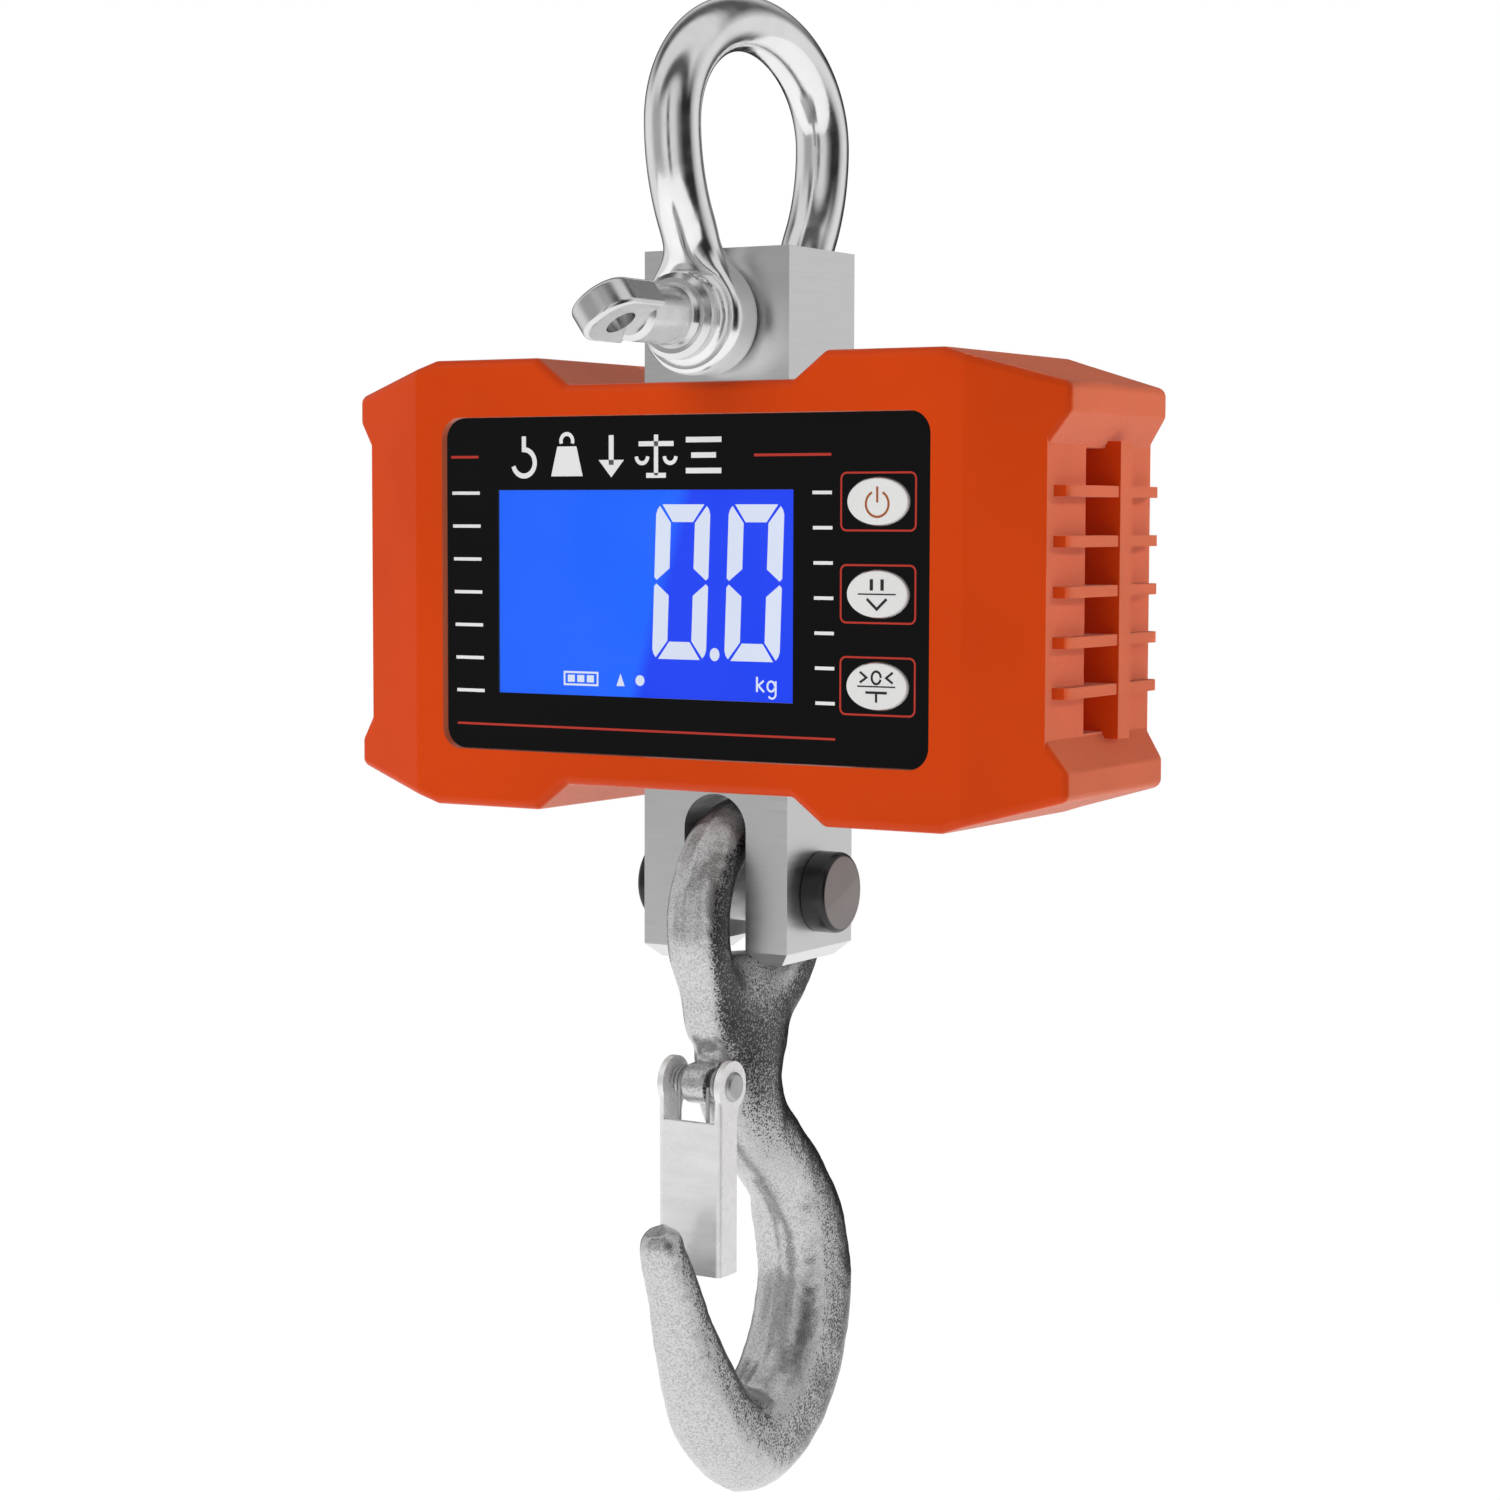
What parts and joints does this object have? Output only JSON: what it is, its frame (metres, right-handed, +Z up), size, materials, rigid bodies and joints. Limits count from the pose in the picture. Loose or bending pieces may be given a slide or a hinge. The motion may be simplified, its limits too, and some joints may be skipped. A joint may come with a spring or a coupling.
{
  "type": "crane scale",
  "caption": "Hanging crane scale: shackle on a load cell block, boxy case with lit display and oval buttons, and a swinging eye hook with a spring latch.",
  "frame": {"origin": "inside crown of the shackle bow, where the scale hangs from a hook", "axes": "+Z up along the load line, -Y out of the display, +X to the right seen from the front"},
  "size_m": [0.1852, 0.1073, 0.3452],
  "materials": {
    "shackle_steel": "polished",
    "pin_steel": "polished",
    "cell_aluminium": "satin, fine brushed grain",
    "hook_steel": "forged and zinc plated, grainy",
    "latch_steel": "bright pressed sheet",
    "fastener_steel": "plated",
    "cross_pin_steel": "turned",
    "cap_black": "dark, satin",
    "case_orange": "moulded, satin",
    "panel_black": "gloss",
    "window_clear": "clear",
    "display_blue": "lit",
    "light_box_white": "matte",
    "button_white": "satin",
    "rubber_black": "matte",
    "board_green": "semi gloss",
    "socket_white": "matte",
    "switch_black": "matte",
    "sheath_grey": "matte",
    "lead_red": "matte",
    "holder_black": "matte",
    "battery_wrap": "gloss"
  },
  "bodies": {
    "shackle": {"shackle_bow": "shackle_steel", "shackle_pin": "pin_steel"},
    "scale_body": {"load_cell": "cell_aluminium", "gauge_cover_front": "fastener_steel", "gauge_cover_rear": "fastener_steel", "hook_pin": "cross_pin_steel", "pin_cap_left": "cap_black", "pin_cap_right": "cap_black", "shell_gasket": "rubber_black", "front_shell": "case_orange", "rear_shell": "case_orange", "upper_seal": "rubber_black", "lower_seal": "rubber_black", "shell_screws": "fastener_steel", "cell_screws": "fastener_steel", "board_screws": "fastener_steel", "door_screws": "fastener_steel", "panel_overlay": "panel_black", "display_window": "window_clear", "lcd_module": "display_blue", "lcd_backlight": "light_box_white", "tact_switches": "switch_black", "main_board": "board_green", "board_connectors": "socket_white", "gauge_cable": "sheath_grey", "battery_leads": "lead_red", "battery_cell_1": "battery_wrap", "battery_cell_2": "battery_wrap", "battery_holder": "holder_black", "battery_door": "case_orange"},
    "hook": {"hook_body": "hook_steel"},
    "latch": {"latch_plate": "latch_steel", "latch_pin": "fastener_steel", "latch_spring": "fastener_steel"},
    "power_button": {"power_button": "button_white"},
    "hold_button": {"hold_button": "button_white"},
    "tare_button": {"tare_button": "button_white"}
  },
  "joints": [
    {"name": "body_swing", "type": "hinge", "parent": "shackle", "child": "scale_body", "pos_m": [0, 0, -0.061], "axis": [0, 1, 0], "range_deg": [-85, 85]},
    {"name": "hook_swing", "type": "hinge", "parent": "scale_body", "child": "hook", "pos_m": [0, 0, -0.19], "axis": [1, 0, 0], "range_deg": [-30, 30]},
    {"name": "latch_pivot", "type": "hinge", "parent": "hook", "child": "latch", "pos_m": [0, -0.0203, -0.233], "axis": [1, 0, 0], "range_deg": [0, 38], "stiffness_Nm_per_rad": 0.03, "springref_deg": -40.11},
    {"name": "power_press", "type": "slide", "parent": "scale_body", "child": "power_button", "axis": [0, 1, 0], "range_m": [0, 0.0006], "stiffness_N_per_m": 1500, "springref_m": -0.0003},
    {"name": "hold_press", "type": "slide", "parent": "scale_body", "child": "hold_button", "axis": [0, 1, 0], "range_m": [0, 0.0006], "stiffness_N_per_m": 1500, "springref_m": -0.0003},
    {"name": "tare_press", "type": "slide", "parent": "scale_body", "child": "tare_button", "axis": [0, 1, 0], "range_m": [0, 0.0006], "stiffness_N_per_m": 1500, "springref_m": -0.0003}
  ]
}
